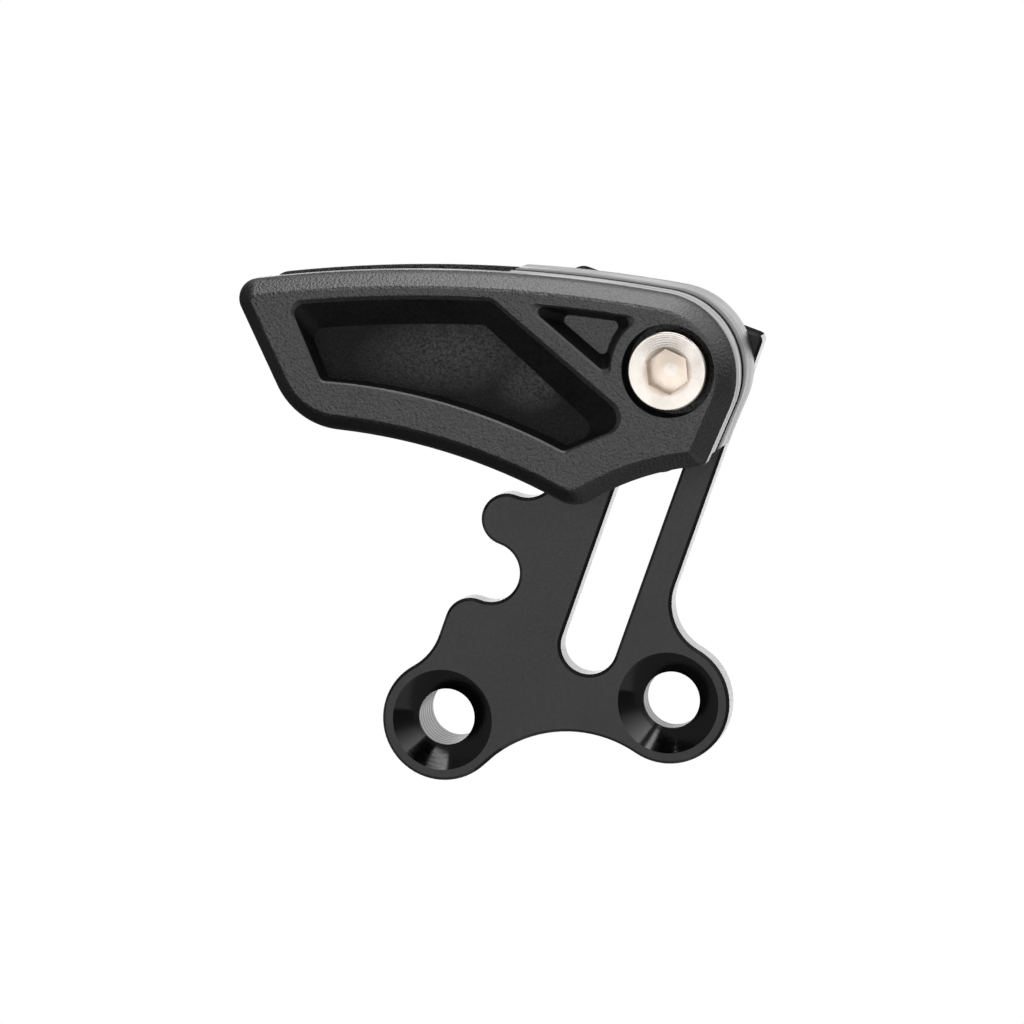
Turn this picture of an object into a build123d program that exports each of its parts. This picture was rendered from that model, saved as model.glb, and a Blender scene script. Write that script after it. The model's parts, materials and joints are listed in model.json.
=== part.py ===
"""Bicycle chain guide: a slotted backplate and a two-piece moulded guide that slides along its slot.

The backplate stands in the XZ plane with its rear face at y = 0 and its front face looking along -Y.
The origin lies midway between the two mounting holes. All sizes are in millimetres.
"""

import os
from math import cos, hypot, radians, sin, sqrt

from build123d import *

os.makedirs("parts", exist_ok=True)

# Backplate, milled from aluminium plate
plate_thickness = 4.0
hole_spacing = 30.0
hole_radius = 3.7
countersink_radius = 6.6
countersink_angle = 90
boss_radius = 8.0
standoff_radius = 6.2
left_standoff = 7.8
right_standoff = 2.3
waist_left_radius = 7.7
waist_right_radius = 6.8
underside_radius = 16.0
edge_chamfer = 0.4

# Adjusting slot: its lower end, its lean to the right of upright and the plate left around it
slot_x = 5.3
slot_z = 8.15
slot_lean = 25.4
slot_travel = 40.0
slot_width = 7.4
right_leg = 4.2
top_rim = 2.3
left_flank = 15.3
top_left_radius = 2.0
top_right_radius = 1.0

# Round notches along the left edge
notch_radius = 3.9
notch_pitch = 14.6
notch_inset = 3.6
first_notch = 4.45

# Depths of the guide, counted forwards from the backplate's front face
slide_gap = 0.1
inner_thickness = 4.9
chain_gap = 8.0
outer_wall = 2.0
bevel_depth = 3.0
bevel_width = 2.0
inner_bridge = 5.0
inner_end_trim = 1.8

# Guide outline: its five corners, seen from the bolt axis, and the curves between them
top_left = (-55.9, 16.0)
top_right = (13.1, 5.7)
low_right = (3.0, -12.55)
tip = (-14.05, -16.8)
low_left = (-49.15, -3.2)
top_radius = 186.0
ring_radius = 77.0
front_radius = 33.5
top_left_round = 2.6
top_right_round = 10.5
low_right_round = 1.2
tip_round = 4.1
low_left_round = 9.8
least_round = 0.5
edge_round = 0.4
edge_break = 0.25
seam_chamfer = 0.8

# Bridge that joins the two guide plates above the chain
chain_room = 15.5
bridge_reach = 20.0
dowels = ((-12.0, 7.0), (2.8, -7.0))
dowel_radius = 1.25
dowel_length = 3.0
dowel_clearance = 0.1

# Large drafted pocket in the outer guide: its corners, set in from the outline's, and those of its floor
pocket_depth = 3.0
pocket_top_left_inset = (8.1, -3.2)
pocket_low_left_inset = (4.5, 5.75)
pocket_tip_inset = (-0.25, 7.75)
pocket_low_right_inset = (-7.95, 6.5)
pocket_top_right = (-21.55, 10.95)
pocket_top_left_round = 1.3
pocket_top_right_round = 1.2
pocket_low_right_round = 2.1
pocket_small_round = 0.8
floor_top_left_run = (1.75, -3.75)
floor_top_right_run = (-1.8, -3.35)
floor_low_right_run = (-5.15, -1.05)
floor_tip_run = (0.0, 0.5)
floor_low_left_run = (0.5, 0.05)
floor_round = 1.5

# Three-cornered pocket between the large pocket and the bolt
rib_width = 2.25
triangle_rim = 3.6
triangle_depth = 3.0
triangle_run = 1.0
triangle_round = 0.7
bolt_rib = 1.6

# Bolt, key and slot nut
thread_radius = 3.0
head_radius = 5.0
head_height = 6.0
head_proud = 0.8
head_chamfer = 0.5
head_clearance = 0.9
shank_clearance = 0.2
bolt_length = 20.0
socket_flats = 5.0
socket_depth = 3.0
socket_point = 1.2
bolt_chamfer = 0.7
key_clearance = 0.2
key_length = 12.0
key_depth = 1.8
nut_flange_width = 11.6
nut_flange_length = 14.0
nut_flange_thickness = 2.4
nut_corner = 1.0
nut_neck_length = 5.0
nut_neck_depth = 1.8
thread_clearance = 0.05


def along_slot(across, up):
    """Point in the plate given by its place across and up the slot, from the slot's lower end."""
    lean = radians(slot_lean)
    return Vector(slot_x + across * cos(lean) + up * sin(lean), slot_z - across * sin(lean) + up * cos(lean))


def touch(first, first_radius, second, second_radius):
    """Point where two circles meet that touch from outside."""
    return first + (second - first) * (first_radius / (first_radius + second_radius))


def waist_height(hole, across, radius):
    """How far up the slot a waist's centre lies when it touches the boss round a hole."""
    lean = radians(slot_lean)
    hole_across = (hole.X - slot_x) * cos(lean) - (hole.Y - slot_z) * sin(lean)
    hole_up = (hole.X - slot_x) * sin(lean) + (hole.Y - slot_z) * cos(lean)
    return hole_up + sqrt((boss_radius + radius) ** 2 - (across - hole_across) ** 2)


def round_about(centre, start, end, turn):
    """Arc about a centre from start to end; turn is +1 for anticlockwise and -1 for clockwise."""
    begin = (start - centre).get_angle(Vector(1, 0)) * (1 if start.Y >= centre.Y else -1)
    finish = (end - centre).get_angle(Vector(1, 0)) * (1 if end.Y >= centre.Y else -1)
    sweep = (finish - begin) * turn % 360 * turn
    return CenterArc(centre, (start - centre).length, begin, sweep)


# Places that several pieces share
slot_half = slot_width / 2
bolt_at = along_slot(0, slot_travel)
down_slot = Vector(-sin(radians(slot_lean)), -cos(radians(slot_lean)))
inner_rear = plate_thickness + slide_gap
inner_face = inner_rear + inner_thickness
parting = inner_face + inner_bridge
outer_face = inner_face + chain_gap
bevel_start = outer_face + outer_wall
front_face = bevel_start + bevel_depth
head_top = front_face + head_proud
head_seat = head_top - head_height
counterbore_radius = head_radius + head_clearance
guide_plane = Plane(origin=(bolt_at.X, 0, bolt_at.Y), x_dir=(1, 0, 0), z_dir=(0, -1, 0))

# Backplate: the outline runs anticlockwise from the left boss as lines and arcs that touch
left_hole = Vector(-hole_spacing / 2, 0)
right_hole = Vector(hole_spacing / 2, 0)
underside = Vector(0, -sqrt((boss_radius + underside_radius) ** 2 - right_hole.X**2))
right_edge = slot_half + right_leg
left_edge = -slot_half - left_flank
top_edge = slot_travel + slot_half + top_rim
waist_right_up = waist_height(right_hole, right_edge + waist_right_radius, waist_right_radius)
waist_right = along_slot(right_edge + waist_right_radius, waist_right_up)
waist_left_up = waist_height(left_hole, left_edge - waist_left_radius, waist_left_radius)
waist_left = along_slot(left_edge - waist_left_radius, waist_left_up)
lobe_radius = (notch_inset**2 + (notch_pitch / 2) ** 2 - notch_radius**2) / (2 * (notch_inset + notch_radius))
notches = [along_slot(left_edge + notch_inset, first_notch + notch_pitch * i) for i in range(2)]
lobes = [along_slot(left_edge + lobe_radius, first_notch + notch_pitch * (i - 0.5)) for i in range(3)]
top_left_centre = along_slot(left_edge + top_left_radius, top_edge - top_left_radius)
top_right_centre = along_slot(right_edge - top_right_radius, top_edge - top_right_radius)

with BuildPart() as backplate:
    with BuildSketch(Plane.XZ):
        with BuildLine():
            to_underside = touch(left_hole, boss_radius, underside, underside_radius)
            to_right_boss = touch(right_hole, boss_radius, underside, underside_radius)
            round_about(underside, to_underside, to_right_boss, -1)
            to_waist = touch(right_hole, boss_radius, waist_right, waist_right_radius)
            round_about(right_hole, to_right_boss, to_waist, 1)
            to_leg = along_slot(right_edge, waist_right_up)
            round_about(waist_right, to_waist, to_leg, -1)
            leg_top = along_slot(right_edge, top_edge - top_right_radius)
            Line(to_leg, leg_top)
            top_start = along_slot(right_edge - top_right_radius, top_edge)
            round_about(top_right_centre, leg_top, top_start, 1)
            top_end = along_slot(left_edge + top_left_radius, top_edge)
            Line(top_start, top_end)
            flank_top = along_slot(left_edge, top_edge - top_left_radius)
            round_about(top_left_centre, top_end, flank_top, 1)
            start = along_slot(left_edge, first_notch + notch_pitch * 1.5)
            Line(flank_top, start)
            for upper, notch, lower in zip(lobes[:0:-1], notches[::-1], lobes[1::-1]):
                into_notch = touch(upper, lobe_radius, notch, notch_radius)
                out_of_notch = touch(lower, lobe_radius, notch, notch_radius)
                round_about(upper, start, into_notch, 1)
                round_about(notch, into_notch, out_of_notch, -1)
                start = out_of_notch
            lobe_end = along_slot(left_edge, first_notch - notch_pitch / 2)
            round_about(lobes[0], start, lobe_end, 1)
            into_waist = along_slot(left_edge, waist_left_up)
            Line(lobe_end, into_waist)
            to_left_boss = touch(left_hole, boss_radius, waist_left, waist_left_radius)
            round_about(waist_left, into_waist, to_left_boss, -1)
            round_about(left_hole, to_left_boss, to_underside, 1)
        make_face()
        with Locations(along_slot(0, slot_travel / 2)):
            SlotCenterToCenter(slot_travel, slot_width, rotation=90 - slot_lean, mode=Mode.SUBTRACT)
    extrude(amount=plate_thickness)
    chamfer(backplate.faces().sort_by(Axis.Y)[0].edges(), edge_chamfer)
    chamfer(backplate.faces().sort_by(Axis.Y)[-1].edges(), edge_chamfer)
    for hole, standoff in ((left_hole, left_standoff), (right_hole, right_standoff)):
        with BuildSketch(Plane.XZ):
            with Locations(hole):
                Circle(standoff_radius)
        extrude(amount=-standoff)
        rear_end = backplate.faces().sort_by_distance((hole.X, standoff, hole.Y))[0]
        chamfer(rear_end.edges(), edge_chamfer)
        with Locations(Plane.XZ.offset(plate_thickness) * Location(hole)):
            CounterSinkHole(hole_radius, countersink_radius, counter_sink_angle=countersink_angle)
backplate.part.label = "backplate"
export_step(backplate.part, "parts/backplate.step")


def guide_outline(inset, end_trim=0):
    """Face of the guide's outline about the bolt axis, drawn in by an inset, with its corners rounded.

    The left end is cut back further by the trim.
    """
    rounds = (top_left_round, top_right_round, low_right_round, tip_round, low_left_round)
    with BuildSketch() as face:
        with BuildLine():
            RadiusArc(top_left, top_right, top_radius)
            Line(top_right, low_right)
            RadiusArc(low_right, tip, -front_radius)
            RadiusArc(tip, low_left, -ring_radius)
            Line(low_left, top_left)
        make_face()
        if inset:
            offset(amount=-inset, kind=Kind.INTERSECTION, mode=Mode.REPLACE)
        if end_trim:
            end = Vector(*top_left) - Vector(*low_left)
            outward = Vector(-end.Y, end.X).normalized()
            low_cut = Vector(*low_left) - end - outward * (inset + end_trim)
            high_cut = Vector(*top_left) + end - outward * (inset + end_trim)
            clear_of_end = outward * end.length
            with BuildLine():
                Polyline(low_cut, high_cut, high_cut + clear_of_end, low_cut + clear_of_end, close=True)
            make_face(mode=Mode.SUBTRACT)
        for corner, radius in zip((top_left, top_right, low_right, tip, low_left), rounds):
            fillet(face.vertices().sort_by_distance(corner)[0], max(radius - inset, least_round))
    return face.sketch


def arc_centre(start, end, radius):
    """Centre of the short arc from start to end that curves to the left."""
    middle = (Vector(*start) + Vector(*end)) / 2
    chord = Vector(*end) - Vector(*start)
    reach = sqrt(radius**2 - (chord.length / 2) ** 2)
    return middle + Vector(-chord.Y, chord.X).normalized() * reach


def bridge_outline(inset):
    """Face of the bridge: the outline beyond the chain's path and right of its end, drawn in by an inset."""
    beyond_end = 2 * hypot(*top_left)
    with BuildSketch() as face:
        add(guide_outline(0))
        with Locations(arc_centre(tip, low_left, ring_radius)):
            Circle(ring_radius + chain_room, mode=Mode.SUBTRACT)
        with Locations((-bridge_reach, 0)):
            Rectangle(beyond_end, beyond_end, align=(Align.MAX, Align.CENTER), mode=Mode.SUBTRACT)
        if inset:
            offset(amount=-inset, kind=Kind.INTERSECTION, mode=Mode.REPLACE)
    return face.sketch


# Outer guide: moulded plate with a bevelled front edge, drafted pockets and its half of the bridge
mouth_corners = [
    Vector(*top_left) + Vector(*pocket_top_left_inset),
    Vector(*pocket_top_right),
    Vector(*low_right) + Vector(*pocket_low_right_inset),
    Vector(*tip) + Vector(*pocket_tip_inset),
    Vector(*low_left) + Vector(*pocket_low_left_inset),
]
floor_runs = [floor_top_left_run, floor_top_right_run, floor_low_right_run, floor_tip_run, floor_low_left_run]
rim_corners = [c + Vector(*run) * (edge_break / pocket_depth) for c, run in zip(mouth_corners, floor_runs)]
floor_corners = [corner + Vector(*run) for corner, run in zip(mouth_corners, floor_runs)]
mouth_rounds = [
    pocket_top_left_round,
    pocket_top_right_round,
    pocket_low_right_round,
    pocket_small_round,
    pocket_small_round,
]
floor_rounds = [floor_round, floor_round, floor_round, pocket_small_round, pocket_small_round]


def pocket_outline(corners, rounds):
    """Face of the large pocket at one depth: two arcs that follow the outline and three straight sides."""
    with BuildSketch() as face:
        with BuildLine():
            RadiusArc(corners[0], corners[1], top_radius)
            Line(corners[1], corners[2])
            Line(corners[2], corners[3])
            RadiusArc(corners[3], corners[4], -ring_radius)
            Line(corners[4], corners[0])
        make_face()
        for corner, radius in zip(corners, rounds):
            fillet(face.vertices().sort_by_distance(corner)[0], radius)
    return face.sketch


def triangle_outline(inset):
    """Face of the three-cornered pocket between the top rim, the diagonal rib and the rib round the bolt."""
    diagonal = (mouth_corners[2] - mouth_corners[1]).normalized()
    across = Vector(-diagonal.Y, diagonal.X)
    foot = mouth_corners[1] + across * (rib_width + inset)
    reach = hypot(*top_left)
    with BuildSketch() as face:
        add(guide_outline(triangle_rim + inset))
        wedge = [foot - diagonal * reach, foot + diagonal * diagonal.dot(foot * -1), (0, 0), (0, reach)]
        with BuildLine():
            Polyline(*wedge, close=True)
        make_face(mode=Mode.INTERSECT)
        Circle(counterbore_radius + bolt_rib + inset, mode=Mode.SUBTRACT)
        fillet(face.vertices(), triangle_round)
    return face.sketch


with BuildPart() as outer_guide:
    bevel_end = bevel_width * (1 - edge_break / bevel_depth)
    edge_sections = ((0, 0), (bevel_depth - edge_break, bevel_end), (bevel_depth, bevel_width + edge_break))
    for depth, inset in edge_sections:
        with BuildSketch(guide_plane.offset(bevel_start + depth)):
            add(guide_outline(inset))
    loft(ruled=True)
    with BuildSketch(guide_plane.offset(outer_face)):
        add(guide_outline(0))
    extrude(amount=outer_wall)
    fillet(outer_guide.edges().filter_by_position(Axis.Y, -bevel_start, -bevel_start), edge_round)
    for depth, inset in ((parting, seam_chamfer), (parting + seam_chamfer, 0)):
        with BuildSketch(guide_plane.offset(depth)):
            add(bridge_outline(inset))
    loft(ruled=True)
    with BuildSketch(guide_plane.offset(parting + seam_chamfer)):
        add(bridge_outline(0))
    extrude(amount=outer_face - parting - seam_chamfer)
    with BuildSketch(guide_plane.offset(front_face)):
        offset(pocket_outline(mouth_corners, mouth_rounds), amount=edge_break)
    with BuildSketch(guide_plane.offset(front_face - edge_break)):
        add(pocket_outline(rim_corners, mouth_rounds))
    with BuildSketch(guide_plane.offset(front_face - pocket_depth)):
        add(pocket_outline(floor_corners, floor_rounds))
    loft(ruled=True, mode=Mode.SUBTRACT)
    rim_inset = triangle_run * edge_break / triangle_depth
    for depth, inset in ((0, -edge_break), (edge_break, rim_inset), (triangle_depth, triangle_run)):
        with BuildSketch(guide_plane.offset(front_face - depth)):
            add(triangle_outline(inset))
    loft(ruled=True, mode=Mode.SUBTRACT)
    with Locations(guide_plane.offset(front_face)):
        CounterBoreHole(thread_radius + shank_clearance, counterbore_radius, front_face - head_seat)
    with BuildSketch(guide_plane.offset(parting)):
        with Locations(*dowels):
            Circle(dowel_radius)
    extrude(amount=-dowel_length)
outer_guide.part.label = "outer_guide"
export_step(outer_guide.part, "parts/outer_guide.step")

# Inner guide: plate that tapers to its rear face, its half of the bridge and a key that runs in the slot
with BuildPart() as inner_guide:
    with BuildSketch(guide_plane.offset(inner_face)):
        add(guide_outline(0, inner_end_trim))
    with BuildSketch(guide_plane.offset(inner_rear)):
        add(guide_outline(bevel_width, inner_end_trim))
    loft(ruled=True)
    with BuildSketch(guide_plane.offset(inner_rear)):
        add(bridge_outline(0))
    extrude(amount=parting - seam_chamfer - inner_rear)
    for depth, inset in ((parting - seam_chamfer, 0), (parting, seam_chamfer)):
        with BuildSketch(guide_plane.offset(depth)):
            add(bridge_outline(inset))
    loft(ruled=True)
    with BuildSketch(guide_plane.offset(inner_rear)):
        with Locations(down_slot * (key_length / 2)):
            SlotCenterToCenter(key_length, slot_width - 2 * key_clearance, rotation=90 - slot_lean)
    extrude(amount=-key_depth)
    with BuildSketch(guide_plane.offset(parting)):
        with Locations(*dowels):
            Circle(dowel_radius + dowel_clearance)
    extrude(amount=-dowel_length - dowel_clearance, mode=Mode.SUBTRACT)
    with Locations(guide_plane.offset(parting)):
        Hole(thread_radius + shank_clearance)
inner_guide.part.label = "inner_guide"
export_step(inner_guide.part, "parts/inner_guide.step")

# Bolt: socket cap screw that clamps both guide halves to the backplate
with BuildPart() as guide_bolt:
    with BuildSketch(guide_plane.offset(head_seat)):
        Circle(head_radius)
    extrude(amount=head_height)
    chamfer(guide_bolt.edges().sort_by(Axis.Y)[0], head_chamfer)
    with BuildSketch(guide_plane.offset(head_seat)):
        Circle(thread_radius)
    extrude(amount=-bolt_length)
    chamfer(guide_bolt.edges().sort_by(Axis.Y)[-1], bolt_chamfer)
    with BuildSketch(guide_plane.offset(head_top)):
        RegularPolygon(socket_flats / 2, 6, major_radius=False, rotation=30)
    extrude(amount=-socket_depth, mode=Mode.SUBTRACT)
    with Locations(guide_plane.offset(head_top - socket_depth - socket_point / 2)):
        Cone(0, socket_flats / 2, socket_point, mode=Mode.SUBTRACT)
guide_bolt.part.label = "guide_bolt"
export_step(guide_bolt.part, "parts/guide_bolt.step")

# Slot nut: flange behind the backplate with a neck that sits in the slot and takes the bolt
with BuildPart() as slot_nut:
    nut_middle = down_slot * (nut_neck_length / 2)
    with BuildSketch(guide_plane.offset(-slide_gap)):
        with Locations(nut_middle):
            RectangleRounded(nut_flange_width, nut_flange_length, nut_corner, rotation=-slot_lean)
    extrude(amount=-nut_flange_thickness)
    with BuildSketch(guide_plane.offset(-slide_gap)):
        with Locations(nut_middle):
            SlotCenterToCenter(nut_neck_length, slot_width - 2 * key_clearance, rotation=90 - slot_lean)
    extrude(amount=nut_neck_depth)
    with Locations(guide_plane):
        Hole(thread_radius + thread_clearance)
slot_nut.part.label = "slot_nut"
export_step(slot_nut.part, "parts/slot_nut.step")
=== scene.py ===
import json
import math

import bmesh
import bpy
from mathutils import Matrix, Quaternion, Vector


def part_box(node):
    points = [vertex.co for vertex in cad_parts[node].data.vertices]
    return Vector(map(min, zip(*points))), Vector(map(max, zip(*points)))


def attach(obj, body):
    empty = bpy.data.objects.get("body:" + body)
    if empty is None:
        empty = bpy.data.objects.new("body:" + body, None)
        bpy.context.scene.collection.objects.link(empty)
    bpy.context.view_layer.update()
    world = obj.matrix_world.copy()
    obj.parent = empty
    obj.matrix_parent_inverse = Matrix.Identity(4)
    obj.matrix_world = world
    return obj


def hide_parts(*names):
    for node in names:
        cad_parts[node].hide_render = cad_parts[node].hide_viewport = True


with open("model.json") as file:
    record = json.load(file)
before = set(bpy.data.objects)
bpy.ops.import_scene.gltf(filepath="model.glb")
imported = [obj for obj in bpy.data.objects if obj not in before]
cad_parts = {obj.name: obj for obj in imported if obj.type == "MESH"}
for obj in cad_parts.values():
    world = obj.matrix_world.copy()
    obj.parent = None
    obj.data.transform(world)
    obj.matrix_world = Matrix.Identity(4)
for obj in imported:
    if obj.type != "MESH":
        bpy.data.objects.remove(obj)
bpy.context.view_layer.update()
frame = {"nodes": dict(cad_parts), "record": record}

# Backplate: the flat aluminium carrier that bolts to two tabs of the bicycle's frame.
# It is sawn and milled from 4 mm plate, bored and countersunk, and its edges are broken.
# Its faces are blasted and all of it is anodised black, so each cut keeps a gloss of its own.
mm = 0.001
plate_black = (0.008, 0.008, 0.0083)
plate_black_worn = (0.012, 0.012, 0.0124)
plate_grain = 0.3 * mm
plate_grain_height = 0.004 * mm
plate_cloud = 9.0 * mm
grain_detail = 3.0
blasted_rough = (0.36, 0.44)
milled_rough = (0.27, 0.36)
chamfer_gloss = 1.25
chamfer_rough = (0.4, 0.5)
# Chamfers that face down and to the left get a lighter black: a painted highlight that lifts the
# shade on that side.
shade_lift_black = (0.024, 0.024, 0.0245)
shaded_side = -0.3
sawn_gloss = 1.04
sawn_rough = (0.8, 0.9)
sawn_end = 45.0 * mm
sawn_end_slope = 0.5
cutter_black = (0.0005, 0.0005, 0.0005)
cutter_black_worn = (0.0012, 0.0012, 0.0012)
cutter_gloss = 1.68
cutter_rough = (0.1, 0.17)
cutter_ring_pitch = 0.5 * mm
cutter_ring_height = 0.0012 * mm
cutter_shake = 0.6
bore_rough = (0.36, 0.46)
bore_ring_pitch = 1.25 * mm
bore_ring_height = 0.04 * mm
bore_shake = 0.5
countersink_radius = 6.6 * mm
steep_wall = 0.35
flat_face = 0.97


def start_finish(name):
    """A new material with its node tree and its shader."""
    finish = bpy.data.materials.new(name)
    finish.use_nodes = True
    tree = finish.node_tree
    return finish, tree, tree.nodes["Principled BSDF"]


def place_on(tree, centre=(0, 0, 0), squeeze=(1, 1, 1)):
    """Coordinates on the part itself, in metres from a centre."""
    coordinates = tree.nodes.new("ShaderNodeTexCoord")
    mapping = tree.nodes.new("ShaderNodeMapping")
    mapping.inputs["Location"].default_value = [-c * s for c, s in zip(centre, squeeze)]
    mapping.inputs["Scale"].default_value = squeeze
    tree.links.new(coordinates.outputs["Object"], mapping.inputs["Vector"])
    return mapping.outputs["Vector"]


def speckle(tree, where, size, detail=2.0):
    """An even random speckle of the given size."""
    noise = tree.nodes.new("ShaderNodeTexNoise")
    noise.inputs["Scale"].default_value = 1 / size
    noise.inputs["Detail"].default_value = detail
    tree.links.new(where, noise.inputs["Vector"])
    return noise.outputs["Fac"]


def tool_lines(tree, where, pitch, shake, run="RINGS"):
    """A cutter's slightly uneven lines: rings round the Y axis, or bands along it."""
    lines = tree.nodes.new("ShaderNodeTexWave")
    lines.wave_type = run
    lines.rings_direction = "Y"
    lines.bands_direction = "Y"
    radians_at_scale_one = 20
    lines.inputs["Scale"].default_value = math.tau / radians_at_scale_one / pitch
    lines.inputs["Distortion"].default_value = shake
    tree.links.new(where, lines.inputs["Vector"])
    return lines.outputs["Fac"]


def spread(tree, value, low, high, start=0.3, end=0.7):
    """A value from start to end, by default the middle of a speckle, spread between two numbers."""
    ranged = tree.nodes.new("ShaderNodeMapRange")
    limits = (("From Min", start), ("From Max", end), ("To Min", low), ("To Max", high))
    for socket, number in limits:
        ranged.inputs[socket].default_value = number
    tree.links.new(value, ranged.inputs["Value"])
    return ranged.outputs["Result"]


def shade_between(tree, value, first, second):
    """A colour between two, by a value from 0 to 1."""
    mix = tree.nodes.new("ShaderNodeMix")
    mix.data_type = "RGBA"
    mix.inputs["A"].default_value = (*first, 1)
    mix.inputs["B"].default_value = (*second, 1)
    tree.links.new(value, mix.inputs["Factor"])
    return mix.outputs["Result"]


def raise_by(tree, shader, value, height):
    """Adds a relief of the given height to a shader's surface, over any relief it has."""
    bump = tree.nodes.new("ShaderNodeBump")
    bump.inputs["Strength"].default_value = 1.0
    bump.inputs["Distance"].default_value = height
    tree.links.new(value, bump.inputs["Height"])
    for link in shader.inputs["Normal"].links:
        tree.links.new(link.from_socket, bump.inputs["Normal"])
    tree.links.new(bump.outputs["Normal"], shader.inputs["Normal"])


def blasted_anodising(name, rough, gloss=None, black=plate_black, worn=plate_black_worn):
    """Satin black anodising: very even, with a faint cloud and a fine grain."""
    finish, tree, shader = start_finish(name)
    if gloss:
        shader.inputs["IOR"].default_value = gloss
    where = place_on(tree)
    cloud = speckle(tree, where, plate_cloud)
    grain = speckle(tree, where, plate_grain, grain_detail)
    colour = shade_between(tree, spread(tree, cloud, 0.0, 1.0), black, worn)
    tree.links.new(colour, shader.inputs["Base Color"])
    tree.links.new(spread(tree, grain, *rough), shader.inputs["Roughness"])
    raise_by(tree, shader, grain, plate_grain_height)
    return finish


def turned_anodising(name, centre):
    """Black anodising on a countersink, with the cutter's rings round the hole's centre."""
    finish, tree, shader = start_finish(name)
    shader.inputs["IOR"].default_value = cutter_gloss
    where = place_on(tree, centre)
    rings = tool_lines(tree, where, cutter_ring_pitch, cutter_shake)
    grain = speckle(tree, where, plate_grain, grain_detail)
    colour = shade_between(tree, rings, cutter_black, cutter_black_worn)
    tree.links.new(colour, shader.inputs["Base Color"])
    tree.links.new(spread(tree, grain, *cutter_rough), shader.inputs["Roughness"])
    raise_by(tree, shader, rings, cutter_ring_height)
    return finish


def bored_anodising(name):
    """Black anodising in the bores, with the drill's rings along the Y axis."""
    finish, tree, shader = start_finish(name)
    rings = tool_lines(tree, place_on(tree), bore_ring_pitch, bore_shake, "BANDS")
    colour = shade_between(tree, rings, cutter_black, cutter_black_worn)
    tree.links.new(colour, shader.inputs["Base Color"])
    tree.links.new(spread(tree, rings, *bore_rough, 0.0, 1.0), shader.inputs["Roughness"])
    raise_by(tree, shader, rings, bore_ring_height)
    return finish


def dress(piece, finishes, finish_of):
    """Puts a piece's finishes on it, and on each face the one that finish_of picks."""
    for number, finish in enumerate(finishes):
        if number == len(piece.material_slots):
            piece.data.materials.append(finish)
        piece.material_slots[number].material = finish
    for face in piece.data.polygons:
        face.material_index = finishes.index(finish_of(face))


hole_pattern = next(m for m in frame["record"]["mounts"] if m["name"] == "frame_bolts")["dims"]
hole_reach = hole_pattern["spacing_x_mm"] / 2 * mm
left_hole, right_hole = Vector((-hole_reach, 0, 0)), Vector((hole_reach, 0, 0))
blasted = blasted_anodising("blasted_black_anodising", blasted_rough)
bored = bored_anodising("bored_black_anodising")
left_turned = turned_anodising("turned_black_anodising_left", left_hole)
right_turned = turned_anodising("turned_black_anodising_right", right_hole)
milled = blasted_anodising("milled_black_anodising", milled_rough, cutter_gloss)
broken = blasted_anodising("broken_edge_black_anodising", chamfer_rough, chamfer_gloss)
# Painted highlight: a lighter black for the chamfers on the shaded, down-left side of the plate.
shade_lifted = blasted_anodising(
    "shade_lifted_edge_black_anodising", chamfer_rough, black=shade_lift_black, worn=shade_lift_black
)
sawn = blasted_anodising("sawn_black_anodising", sawn_rough, sawn_gloss)


def plate_finish(face):
    """The finish that the cut which made a face of the plate has left on it; chamfers facing down
    and to the left get a painted lighter black instead.
    """
    slope = abs(face.normal.y)
    if slope >= flat_face:
        return blasted
    for hole, turned in ((left_hole, left_turned), (right_hole, right_turned)):
        inwards = hole - Vector((face.center.x, 0, face.center.z))
        if inwards.length < countersink_radius and face.normal.dot(inwards) > 0:
            return bored if slope < steep_wall else turned
    if slope < steep_wall:
        at_sawn_end = face.center.z > sawn_end and face.normal.z > sawn_end_slope
        return sawn if at_sawn_end else milled
    # Chamfers facing down and to the left sit in shade; they get the painted lighter black.
    in_shade = face.normal.y < 0 and face.normal.x + face.normal.z < shaded_side
    return shade_lifted if in_shade else broken


plate_finishes = [blasted, bored, left_turned, right_turned, milled, broken, shade_lifted, sawn]
dress(frame["nodes"]["backplate"], plate_finishes, plate_finish)

# Slot nut: the flanged steel nut behind the backplate, which the bolt draws against the slot.
# It is milled from bar, its neck keeps it from turning in the slot, and it is nickel plated,
# so fine milling marks show through a dull and slightly warm skin.
nut_nickel = (0.43, 0.41, 0.385)
nut_nickel_dull = (0.36, 0.34, 0.315)
nut_rough = (0.24, 0.36)
nickel_cloud = 2.5 * mm
nickel_cloud_detail = 4.0
tool_mark_pitch = 0.35 * mm
tool_mark_height = 0.003 * mm
mill_mark_length = 12.0 * mm


def nickel_plating(name, rough, bright, dull, marks_squeeze=(1, 1, 1)):
    """Nickel plating with fine marks left by the tool under it."""
    finish, tree, shader = start_finish(name)
    shader.inputs["Metallic"].default_value = 1.0
    cloud = speckle(tree, place_on(tree), nickel_cloud, nickel_cloud_detail)
    marks = speckle(tree, place_on(tree, squeeze=marks_squeeze), tool_mark_pitch)
    colour = shade_between(tree, spread(tree, cloud, 0.0, 1.0), bright, dull)
    tree.links.new(colour, shader.inputs["Base Color"])
    tree.links.new(spread(tree, cloud, *rough), shader.inputs["Roughness"])
    raise_by(tree, shader, marks, tool_mark_height)
    return finish, tree, shader


along_marks = (tool_mark_pitch / mill_mark_length, 1, 1)
milled_nickel, _, _ = nickel_plating(
    "milled_nickel", nut_rough, nut_nickel, nut_nickel_dull, along_marks
)
dress(frame["nodes"]["slot_nut"], [milled_nickel], lambda face: milled_nickel)

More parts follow.
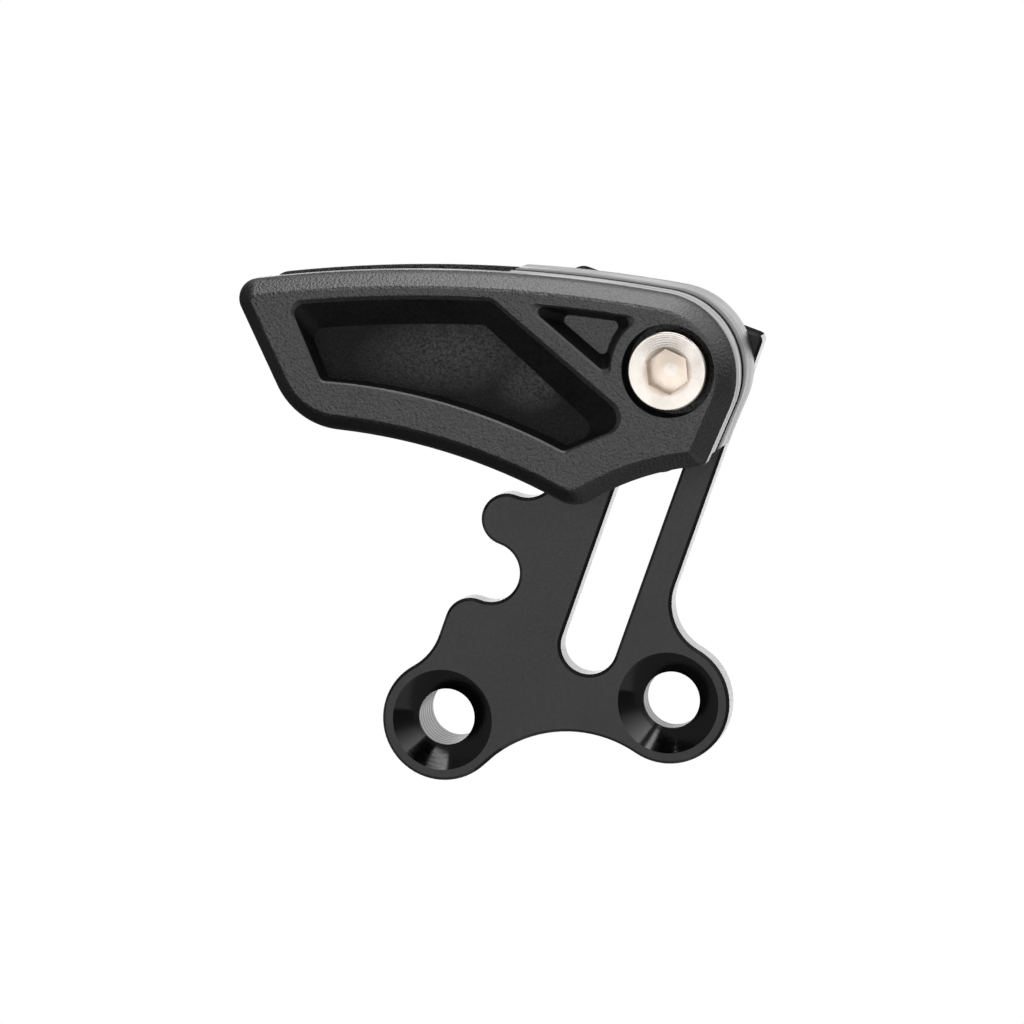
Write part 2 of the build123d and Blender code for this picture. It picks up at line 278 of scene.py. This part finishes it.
# Inner guide: the moulded plate that runs behind the chain, with a key that rides in the slot
# and half of the bridge over the chain. It is black nylon from a spark-eroded mould,
# which leaves a fine leathery grain, and the slot nut and bolt clamp it to the backplate.
nylon_black = (0.002, 0.002, 0.0021)
nylon_black_worn = (0.010, 0.0099, 0.0098)
nylon_gloss = 1.8
nylon_rough = (0.36, 0.46)
nylon_grain = 0.34 * mm
nylon_grain_height = 0.16 * mm
nylon_fine_grain = 0.2 * mm
nylon_fine_height = 0.012 * mm
nylon_cloud = 6.0 * mm
nylon_cloud_share = 0.35
nylon_edge_round = 0.2 * mm
nylon_edge_samples = 6
drafted_gloss = 1.33
drafted_rough = (0.4, 0.5)
drafted_grain_height = 0.03 * mm
streak_grey = (0.016, 0.0155, 0.015)
streak_rough = (0.3, 0.5)
streak_width = 0.7 * mm
streak_height = 0.012 * mm
streak_squeeze = (0.08, 1, 0.08)
parting_wall = 0.25
parting_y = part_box("inner_guide")[0].y
seam_break = 0.8 * mm
seam_dull = 4.0 * mm
seam_dullness = 0.4


def work_out(tree, operation, first, second):
    """One step of arithmetic on a value and another value or a plain number."""
    step = tree.nodes.new("ShaderNodeMath")
    step.operation = operation
    tree.links.new(first, step.inputs[0])
    if isinstance(second, float):
        step.inputs[1].default_value = second
    else:
        tree.links.new(second, step.inputs[1])
    return step.outputs["Value"]


def along(tree, axis):
    """How far a point lies along one axis of the part, in metres."""
    split = tree.nodes.new("ShaderNodeSeparateXYZ")
    tree.links.new(place_on(tree), split.inputs["Vector"])
    return split.outputs[axis]


def moulded_nylon(name, rough, grain_height, gloss=nylon_gloss):
    """Black nylon with the mould's grain, slight flow clouds and edges shaded as if rounded."""
    finish, tree, shader = start_finish(name)
    shader.inputs["IOR"].default_value = gloss
    where = place_on(tree)
    cloud = speckle(tree, where, nylon_cloud)
    grain = speckle(tree, where, nylon_grain, grain_detail)
    fine = speckle(tree, where, nylon_fine_grain)
    cloud_tone = spread(tree, cloud, 0.0, nylon_cloud_share)
    grain_tone = spread(tree, grain, 0.0, 1 - nylon_cloud_share)
    tone = work_out(tree, "ADD", cloud_tone, grain_tone)
    colour = shade_between(tree, tone, nylon_black, nylon_black_worn)
    tree.links.new(colour, shader.inputs["Base Color"])
    tree.links.new(spread(tree, grain, *rough), shader.inputs["Roughness"])
    rounding = tree.nodes.new("ShaderNodeBevel")
    rounding.samples = nylon_edge_samples
    rounding.inputs["Radius"].default_value = nylon_edge_round
    tree.links.new(rounding.outputs["Normal"], shader.inputs["Normal"])
    raise_by(tree, shader, grain, grain_height)
    raise_by(tree, shader, fine, nylon_fine_height)
    return finish, tree, shader


def polished_nylon(name):
    """The same nylon where the mould's halves slide: streaked, and duller just behind the seam."""
    finish, tree, shader = start_finish(name)
    shader.inputs["IOR"].default_value = nylon_gloss
    streaks = speckle(tree, place_on(tree, squeeze=streak_squeeze), streak_width, grain_detail)
    colour = shade_between(tree, spread(tree, streaks, 0.0, 1.0), nylon_black, streak_grey)
    tree.links.new(colour, shader.inputs["Base Color"])
    depth = along(tree, "Y")
    fading = spread(tree, depth, seam_dullness, 0.0, parting_y, parting_y + seam_dull)
    behind_seam = work_out(tree, "GREATER_THAN", depth, parting_y)
    dullness = work_out(tree, "MULTIPLY", fading, behind_seam)
    roughness = work_out(tree, "ADD", spread(tree, streaks, *streak_rough), dullness)
    tree.links.new(roughness, shader.inputs["Roughness"])
    raise_by(tree, shader, streaks, streak_height)
    return finish


def beside_seam(face):
    """Whether a face is on the chamfers that meet where the guide's halves part."""
    return abs(face.normal.y) < flat_face and abs(face.center.y - parting_y) < seam_break


grained_nylon, _, _ = moulded_nylon("spark_grain_black_nylon", nylon_rough, nylon_grain_height)
smooth_nylon = polished_nylon("smooth_black_nylon")
drafted_nylon, _, _ = moulded_nylon(
    "drafted_black_nylon", drafted_rough, drafted_grain_height, drafted_gloss
)


def inner_finish(face):
    """The mould's finish on a face of the inner guide."""
    if abs(face.normal.y) < parting_wall:
        return smooth_nylon
    return drafted_nylon if beside_seam(face) else grained_nylon


inner_finishes = [grained_nylon, smooth_nylon, drafted_nylon]
dress(frame["nodes"]["inner_guide"], inner_finishes, inner_finish)

# Outer guide: the moulded cheek in front of the chain, with bevelled edges, two drafted pockets
# that lighten it and the other half of the bridge. It is moulded in the same black nylon,
# a little shinier on the large pocket's floor, where a paler colour also paints a sheen on it,
# and two dowels set it on the inner guide.
bolt_low, bolt_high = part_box("guide_bolt")
bolt_middle = (bolt_low + bolt_high) / 2
cheek_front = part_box("outer_guide")[0].y
pocket_depth = 3.0 * mm
pocket_middles = (Vector((-8.0, 0, 47.0)) * mm, Vector((10.5, 0, 50.5)) * mm)
pocket_reaches = (26.0 * mm, 9.0 * mm)
rib_reach = 10.0 * mm
counterbore_reach = 6.5 * mm
rim_width = 0.25 * mm
rim_rough = (0.34, 0.44)
bevel_depth = 3.0 * mm
bevel_grain_height = 0.125 * mm
bevel_dull = 0.8 * mm
bevel_dullness = 0.4
near_enough = 0.1 * mm
# The floor's sheen is partly real roughness and partly painted: painted_sheen_grey is a paler
# colour laid on the sheen patches, a painted highlight.
sunk_gloss = 1.5
painted_sheen_grey = (0.055, 0.054, 0.055)
sunk_rough = (0.9, 0.33)
sunk_grain_height = 0.36 * mm
wrinkle_size = 0.3 * mm
wrinkle_height = 0.3 * mm
wrinkle_tones = (0.2, 1.2, 0.36, 0.64)
sheen_core = 0.15
sheen_places = (
    ((-5.2 * mm, 0, 49.1 * mm), (0.43, 0, 0.97), 5.8 * mm),
    ((4.6 * mm, 0, 44.3 * mm), (0.8, 0, 1), 4.3 * mm),
)


def distance_from(tree, centre, squeeze=(1, 1, 1)):
    """How far a point lies from a centre, in metres."""
    length = tree.nodes.new("ShaderNodeVectorMath")
    length.operation = "LENGTH"
    tree.links.new(place_on(tree, centre, squeeze), length.inputs[0])
    return length.outputs["Value"]


def floor_with_painted_sheen(name):
    """The large pocket's floor: smoother in its middle, and painted paler there as a painted sheen.
    """
    finish, tree, shader = moulded_nylon(name, nylon_rough, sunk_grain_height, sunk_gloss)
    shines = []
    for middle, squeeze, reach in sheen_places:
        from_middle = distance_from(tree, middle, squeeze)
        shines.append(spread(tree, from_middle, 1.0, 0.0, sheen_core * reach, reach))
    sheen = work_out(tree, "MAXIMUM", *shines)
    tree.links.new(spread(tree, sheen, *sunk_rough, 0.0, 1.0), shader.inputs["Roughness"])
    # Painted highlight: the floor's colour turns paler inside the sheen patches, mottled by the
    # wrinkles.
    wrinkles = speckle(tree, place_on(tree), wrinkle_size, grain_detail)
    painted_sheen_mask = work_out(tree, "MULTIPLY", sheen, spread(tree, wrinkles, *wrinkle_tones))
    painted_sheen_mix = tree.nodes.new("ShaderNodeMix")
    painted_sheen_mix.data_type = "RGBA"
    painted_sheen_mix.inputs["B"].default_value = (*painted_sheen_grey, 1)
    tree.links.new(painted_sheen_mask, painted_sheen_mix.inputs["Factor"])
    tree.links.new(shader.inputs["Base Color"].links[0].from_socket, painted_sheen_mix.inputs["A"])
    tree.links.new(painted_sheen_mix.outputs["Result"], shader.inputs["Base Color"])
    raise_by(tree, shader, wrinkles, wrinkle_height)
    return finish


def bevel_nylon(name):
    """The grained nylon of the bevels, duller along their back edge where the mould parts."""
    finish, tree, shader = moulded_nylon(name, nylon_rough, bevel_grain_height)
    back_edge = cheek_front + bevel_depth
    fading_edge = (back_edge - bevel_dull, back_edge)
    dullness = spread(tree, along(tree, "Y"), 0.0, bevel_dullness, *fading_edge)
    grained = shader.inputs["Roughness"].links[0].from_socket
    tree.links.new(work_out(tree, "ADD", grained, dullness), shader.inputs["Roughness"])
    return finish


def in_pocket_wall(face):
    """Whether a face is on a pocket's wall: near the pocket's middle and turned towards it."""
    if face.center.y > cheek_front + pocket_depth or abs(face.normal.y) > flat_face:
        return False
    inwards = [Vector((m.x - face.center.x, 0, m.z - face.center.z)) for m in pocket_middles]
    return any(i.length < r and face.normal.dot(i) > 0 for i, r in zip(inwards, pocket_reaches))


floor_nylon = floor_with_painted_sheen("painted_sheen_black_nylon")
rim_nylon, _, _ = moulded_nylon("rubbed_black_nylon", rim_rough, drafted_grain_height)
edge_nylon = bevel_nylon("bevel_black_nylon")


def outer_finish(face):
    """The mould's finish on a face of the outer guide."""
    slope = abs(face.normal.y)
    depth = face.center.y - cheek_front
    right_of_bolt = face.center.x - bolt_middle.x
    above_bolt = face.center.z - bolt_middle.z
    from_bolt = math.hypot(right_of_bolt, above_bolt)
    behind_bevel = depth > bevel_depth - near_enough
    if slope < parting_wall and behind_bevel and from_bolt > counterbore_reach:
        return smooth_nylon
    on_floor = slope > flat_face and abs(depth - pocket_depth) < near_enough
    if on_floor and right_of_bolt + above_bolt < -rib_reach:
        return floor_nylon
    if in_pocket_wall(face):
        return rim_nylon if depth < rim_width else drafted_nylon
    in_counterbore = slope < parting_wall and from_bolt < counterbore_reach
    if in_counterbore or beside_seam(face):
        return drafted_nylon
    return edge_nylon if slope < flat_face and not behind_bevel else grained_nylon


outer_finishes = [
    grained_nylon, smooth_nylon, floor_nylon, drafted_nylon, rim_nylon, edge_nylon
]
dress(frame["nodes"]["outer_guide"], outer_finishes, outer_finish)

# Guide bolt: an M6 socket-head bolt that runs through both guides into the slot nut.
# It is cold-headed steel with a hexagon socket and a rolled thread, nickel plated bright,
# and its head sits in the counterbore of the outer guide.
head_nickel = (0.645, 0.607, 0.565)
head_nickel_dull = (0.585, 0.545, 0.50)
head_rough = (0.2, 0.3)
head_ring_pitch = 0.3 * mm
head_ring_height = 0.002 * mm
head_ring_shake = 1.0
socket_nickel = (0.68, 0.59, 0.51)
socket_nickel_dull = (0.60, 0.51, 0.43)
socket_rough = (0.25, 0.35)
thread_nickel = (0.35, 0.335, 0.315)
thread_nickel_dull = (0.28, 0.265, 0.25)
thread_rough = (0.3, 0.42)
bolt_sides = 96
bolt_length = bolt_high.y - bolt_low.y
head_radius = 5.0 * mm
head_height = 6.0 * mm
head_rim = 0.22 * mm
head_rim_steps = 5
head_seat_chamfer = 0.25 * mm
face_steps = (
    (3.75 * mm, 0.12 * mm), (3.95 * mm, 0.07 * mm), (4.3 * mm, 0.07 * mm), (4.6 * mm, 0.0)
)
socket_flats = 5.0 * mm
socket_top = face_steps[0][1]
socket_mouth_radius = 3.2 * mm
socket_mouth_slope = math.tan(math.radians(16))
socket_depth = 3.0 * mm
socket_floor_radius = 2.45 * mm
socket_dot_radius = 0.85 * mm
socket_dot_rim = 3.12 * mm
socket_dot_depth = 3.2 * mm
shank_radius = 2.98 * mm
thread_pitch = 1.0 * mm
thread_depth = 0.61 * mm
thread_length = 13.0 * mm
thread_steps = 10
thread_crest_edge = 0.0625
thread_root_edge = 0.375
tip_chamfer = 0.7 * mm
centre_spot = 0.05 * mm
hair = 0.01 * mm
sharp_corner = math.radians(30)


def even(value):
    """The same value at every angle, as a round section has."""
    return lambda angle: value


def hexagon(flats):
    """The reach of a six-sided section with flats to the left and right."""
    sixth = math.pi / 3
    return lambda angle: flats / 2 / math.cos((angle + sixth / 2) % sixth - sixth / 2)


def mouth_depth(angle):
    """How deep the socket's shallow round countersink runs down to the hexagon."""
    width = socket_mouth_radius - hexagon(socket_flats)(angle)
    return socket_top + width * socket_mouth_slope


def thread(depth, limit, root):
    """The reach of a thread's section: a right-hand helix with flattened crests and roots."""

    def reach(angle):
        turn = depth / thread_pitch + angle / math.tau
        off_crest = abs(turn - round(turn))
        flank = (thread_root_edge - off_crest) / (thread_root_edge - thread_crest_edge)
        flank = min(max(flank, 0), 1)
        return max(min(shank_radius - thread_depth * (1 - flank), limit), root)

    return reach


bolt_sections = [
    (even(socket_dot_depth), even(centre_spot)),
    (even(socket_dot_rim), even(socket_dot_radius)),
    (even(socket_depth), even(socket_floor_radius)),
    (even(socket_depth), hexagon(socket_flats)),
    (mouth_depth, hexagon(socket_flats)),
    (even(socket_top), even(socket_mouth_radius)),
]
bolt_sections += [(even(depth), even(radius)) for radius, depth in face_steps]
for step in range(head_rim_steps + 1):
    turn = math.pi / 2 * step / head_rim_steps
    rim = head_radius - head_rim * (1 - math.sin(turn))
    bolt_sections.append((even(head_rim * (1 - math.cos(turn))), even(rim)))
bolt_sections += [
    (even(head_height - head_seat_chamfer), even(head_radius)),
    (even(head_height), even(head_radius - head_seat_chamfer)),
    (even(head_height), even(shank_radius)),
    (even(bolt_length - thread_length), even(shank_radius)),
]
for step in range(1, int(thread_length / thread_pitch * thread_steps) + 1):
    depth = bolt_length - thread_length + step * thread_pitch / thread_steps
    tip_limit = shank_radius - tip_chamfer + (bolt_length - depth)
    root = shank_radius - thread_depth * min(step / thread_steps, 1)
    bolt_sections.append((even(depth), thread(depth, tip_limit, root)))
bolt_sections.append((even(bolt_length), even(centre_spot)))

bolt_shape = bmesh.new()
angles = [math.tau * n / bolt_sides for n in range(bolt_sides)]
rings = []
for depth_at, reach in bolt_sections:
    points = [(reach(a) * math.cos(a), depth_at(a), reach(a) * math.sin(a)) for a in angles]
    rings.append([bolt_shape.verts.new(p) for p in points])
for near, far in zip(rings, rings[1:]):
    for n in range(bolt_sides):
        bolt_shape.faces.new((near[n - 1], near[n], far[n], far[n - 1]))
bolt_shape.faces.new(rings[0])
bolt_shape.faces.new(rings[-1])
bmesh.ops.recalc_face_normals(bolt_shape, faces=bolt_shape.faces)
bolt_mesh = bpy.data.meshes.new("guide_bolt_turned")
bolt_shape.to_mesh(bolt_mesh)
bolt_shape.free()
bolt_mesh.shade_smooth()
bolt_mesh.set_sharp_from_angle(angle=sharp_corner)
bolt = bpy.data.objects.new("guide_bolt_turned", bolt_mesh)
bpy.context.scene.collection.objects.link(bolt)
bolt.location = (bolt_middle.x, bolt_low.y, bolt_middle.z)

turned_nickel, bolt_tree, bolt_shader = nickel_plating(
    "turned_nickel", head_rough, head_nickel, head_nickel_dull
)
head_rings = tool_lines(bolt_tree, place_on(bolt_tree), head_ring_pitch, head_ring_shake)
raise_by(bolt_tree, bolt_shader, head_rings, head_ring_height)
punched_nickel, _, _ = nickel_plating(
    "punched_nickel", socket_rough, socket_nickel, socket_nickel_dull
)
rolled_nickel, _, _ = nickel_plating(
    "rolled_nickel", thread_rough, thread_nickel, thread_nickel_dull
)


def bolt_finish(face):
    """The finish on a face of the bolt: rolled below the head, punched in the socket."""
    if face.center.y > head_height:
        return rolled_nickel
    reach = math.hypot(face.center.x, face.center.z)
    in_socket = socket_dot_radius < reach < socket_mouth_radius
    return punched_nickel if in_socket and face.center.y > socket_top + hair else turned_nickel


dress(bolt, [turned_nickel, punched_nickel, rolled_nickel], bolt_finish)
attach(bolt, "slider")
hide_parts("guide_bolt")

# Studio: a pale floor well below the part in a white room, with soft boxes overhead, in front
# and behind. Cards stand round the part and show in its gloss alone: they are dark below,
# above, behind and to the left, and bright up to the right.
floor_height = -0.30
floor_radius = 0.42
floor_fade = 0.10
floor_sides = 64
floor_colour = (0.5, 0.5, 0.5)
floor_rough = 0.9
room_light = 0.45
white = (1, 1, 1, 1)
left, right = -0.60, 0.50
front, back = -1.05, 1.0
foot, head = -0.28, 0.62
card_split = -0.02
right_card_back = 0.50
rear_card_foot = 0.44
gloss_cards = (
    ("card_left", (left, front, foot), (left, back, head), 0.05, 0.08),
    ("card_right", (right, front, 0.0), (right, right_card_back, head), 0.1, 2.1),
    ("card_right_foot", (right, front, foot), (right, right_card_back, 0.0), 0.05, 0.1),
    ("card_front", (left, front, foot), (right, front, head), 0.15, 0.3),
    ("card_below", (left, front, foot), (card_split, back, foot), 0.02, 0.02),
    ("card_below_right", (card_split, front, foot), (right, back, foot), 0.35, 0.35),
    ("card_above", (left, front, head), (right, back, head), 0.1, 0.1),
    ("card_behind", (left, back, rear_card_foot), (right, back, head), 0.06, 0.1),
)
part_middle = (0.0, -0.01, 0.03)
soft_boxes = (
    ("overhead_box", 0.44, 0.75, 3.15, (0.09, 0.075, 0.55), (0.09, 0.075, 0)),
    ("front_box", 1.15, 0.85, 1.46, (-0.17, -0.95, 0.0), part_middle),
    ("rear_box", 0.8, 0.85, 1.48, (0.0, 0.8, -0.005), (0.0, 0.0, -0.005)),
)


def stage_sheet(name, corners, finish):
    """A flat sheet of the studio, which isn't part of the object."""
    mesh = bpy.data.meshes.new(name)
    mesh.from_pydata(corners, [], [range(len(corners))])
    mesh.materials.append(finish)
    sheet = bpy.data.objects.new(name, mesh)
    bpy.context.scene.collection.objects.link(sheet)
    return sheet


def floor_finish(name):
    """Pale matt floor that fades out at its rim and is clear from below."""
    finish, tree, shader = start_finish(name)
    shader.inputs["Base Color"].default_value = (*floor_colour, 1)
    shader.inputs["Roughness"].default_value = floor_rough
    from_middle = distance_from(tree, (0, 0, floor_height))
    fade = spread(tree, from_middle, 0.0, 1.0, floor_radius - floor_fade, floor_radius)
    geometry = tree.nodes.new("ShaderNodeNewGeometry")
    clear_part = work_out(tree, "MAXIMUM", fade, geometry.outputs["Backfacing"])
    clear = tree.nodes.new("ShaderNodeBsdfTransparent")
    mix = tree.nodes.new("ShaderNodeMixShader")
    tree.links.new(clear_part, mix.inputs["Fac"])
    tree.links.new(shader.outputs["BSDF"], mix.inputs[1])
    tree.links.new(clear.outputs["BSDF"], mix.inputs[2])
    tree.links.new(mix.outputs["Shader"], tree.nodes["Material Output"].inputs["Surface"])
    return finish


def gloss_card(name, low, high, foot_glow, head_glow):
    """An upright or level card between two corners, which shows only in the part's gloss."""
    finish, tree, shader = start_finish(name)
    shader.inputs["Base Color"].default_value = (0, 0, 0, 1)
    shader.inputs["Specular IOR Level"].default_value = 0.0
    shader.inputs["Emission Color"].default_value = white
    glow = spread(tree, along(tree, "Z"), foot_glow, head_glow, low[2], high[2] + mm)
    tree.links.new(glow, shader.inputs["Emission Strength"])
    if low[2] == high[2]:
        corners = [low, (high[0], low[1], low[2]), high, (low[0], high[1], low[2])]
    else:
        corners = [low, (high[0], high[1], low[2]), high, (low[0], low[1], high[2])]
    card = stage_sheet(name, corners, finish)
    card.visible_camera = False
    card.visible_diffuse = False
    card.visible_shadow = False


def soft_box(name, width, height, brightness, place, aim):
    """A soft box of an even brightness, turned towards a point."""
    lamp = bpy.data.lights.new(name, "AREA")
    lamp.shape = "RECTANGLE"
    lamp.size = width
    lamp.size_y = height
    lamp.energy = brightness * math.pi * width * height
    box = bpy.data.objects.new(name, lamp)
    box.location = place
    box.rotation_euler = (Vector(aim) - Vector(place)).to_track_quat("-Z", "Y").to_euler()
    box.visible_camera = False
    bpy.context.scene.collection.objects.link(box)


rim_angles = [math.tau * n / floor_sides for n in range(floor_sides)]
floor_rim = [(floor_radius * math.cos(a), floor_radius * math.sin(a)) for a in rim_angles]
stage_sheet("floor", [(x, y, floor_height) for x, y in floor_rim], floor_finish("pale_floor"))
for card in gloss_cards:
    gloss_card(*card)
for box in soft_boxes:
    soft_box(*box)

room = bpy.data.worlds.new("white_room")
bpy.context.scene.world = room
room.use_nodes = True
room_tree = room.node_tree
rays = room_tree.nodes.new("ShaderNodeLightPath").outputs
seen = work_out(room_tree, "MAXIMUM", rays["Is Camera Ray"], rays["Is Glossy Ray"])
seen = work_out(room_tree, "MAXIMUM", seen, rays["Is Transmission Ray"])
fill_light = room_tree.nodes["Background"]
fill_light.inputs["Color"].default_value = white
fill_light.inputs["Strength"].default_value = room_light
backdrop = room_tree.nodes.new("ShaderNodeBackground")
backdrop.inputs["Color"].default_value = white
backdrop.inputs["Strength"].default_value = 1.0
room_mix = room_tree.nodes.new("ShaderNodeMixShader")
room_tree.links.new(seen, room_mix.inputs["Fac"])
room_tree.links.new(fill_light.outputs["Background"], room_mix.inputs[1])
room_tree.links.new(backdrop.outputs["Background"], room_mix.inputs[2])
room_tree.links.new(room_mix.outputs["Shader"], room_tree.nodes["World Output"].inputs["Surface"])

# Camera: a long lens at three quarters of a metre, a little to the right of the part
# and above it, tipped slightly over.
camera_distance = 0.75
camera_yaw = math.radians(11.74)
camera_pitch = math.radians(5.52)
camera_roll = math.radians(-5.813)
camera_aim = Vector((-2.953, -4.0, 26.412)) * mm
picture_width = 132.7 * mm
look = Vector((-math.sin(camera_yaw), math.cos(camera_yaw), 0)) * math.cos(camera_pitch)
look.z = -math.sin(camera_pitch)
lens = bpy.data.cameras.new("camera")
lens.sensor_width = 36.0
lens.lens = lens.sensor_width * camera_distance / picture_width
camera = bpy.data.objects.new("camera", lens)
camera.location = camera_aim - look * camera_distance
upright = look.to_track_quat("-Z", "Y")
camera.rotation_euler = (upright @ Quaternion((0, 0, 1), camera_roll)).to_euler()
bpy.context.scene.collection.objects.link(camera)
bpy.context.scene.camera = camera

bpy.context.scene.view_settings.view_transform = "Standard"
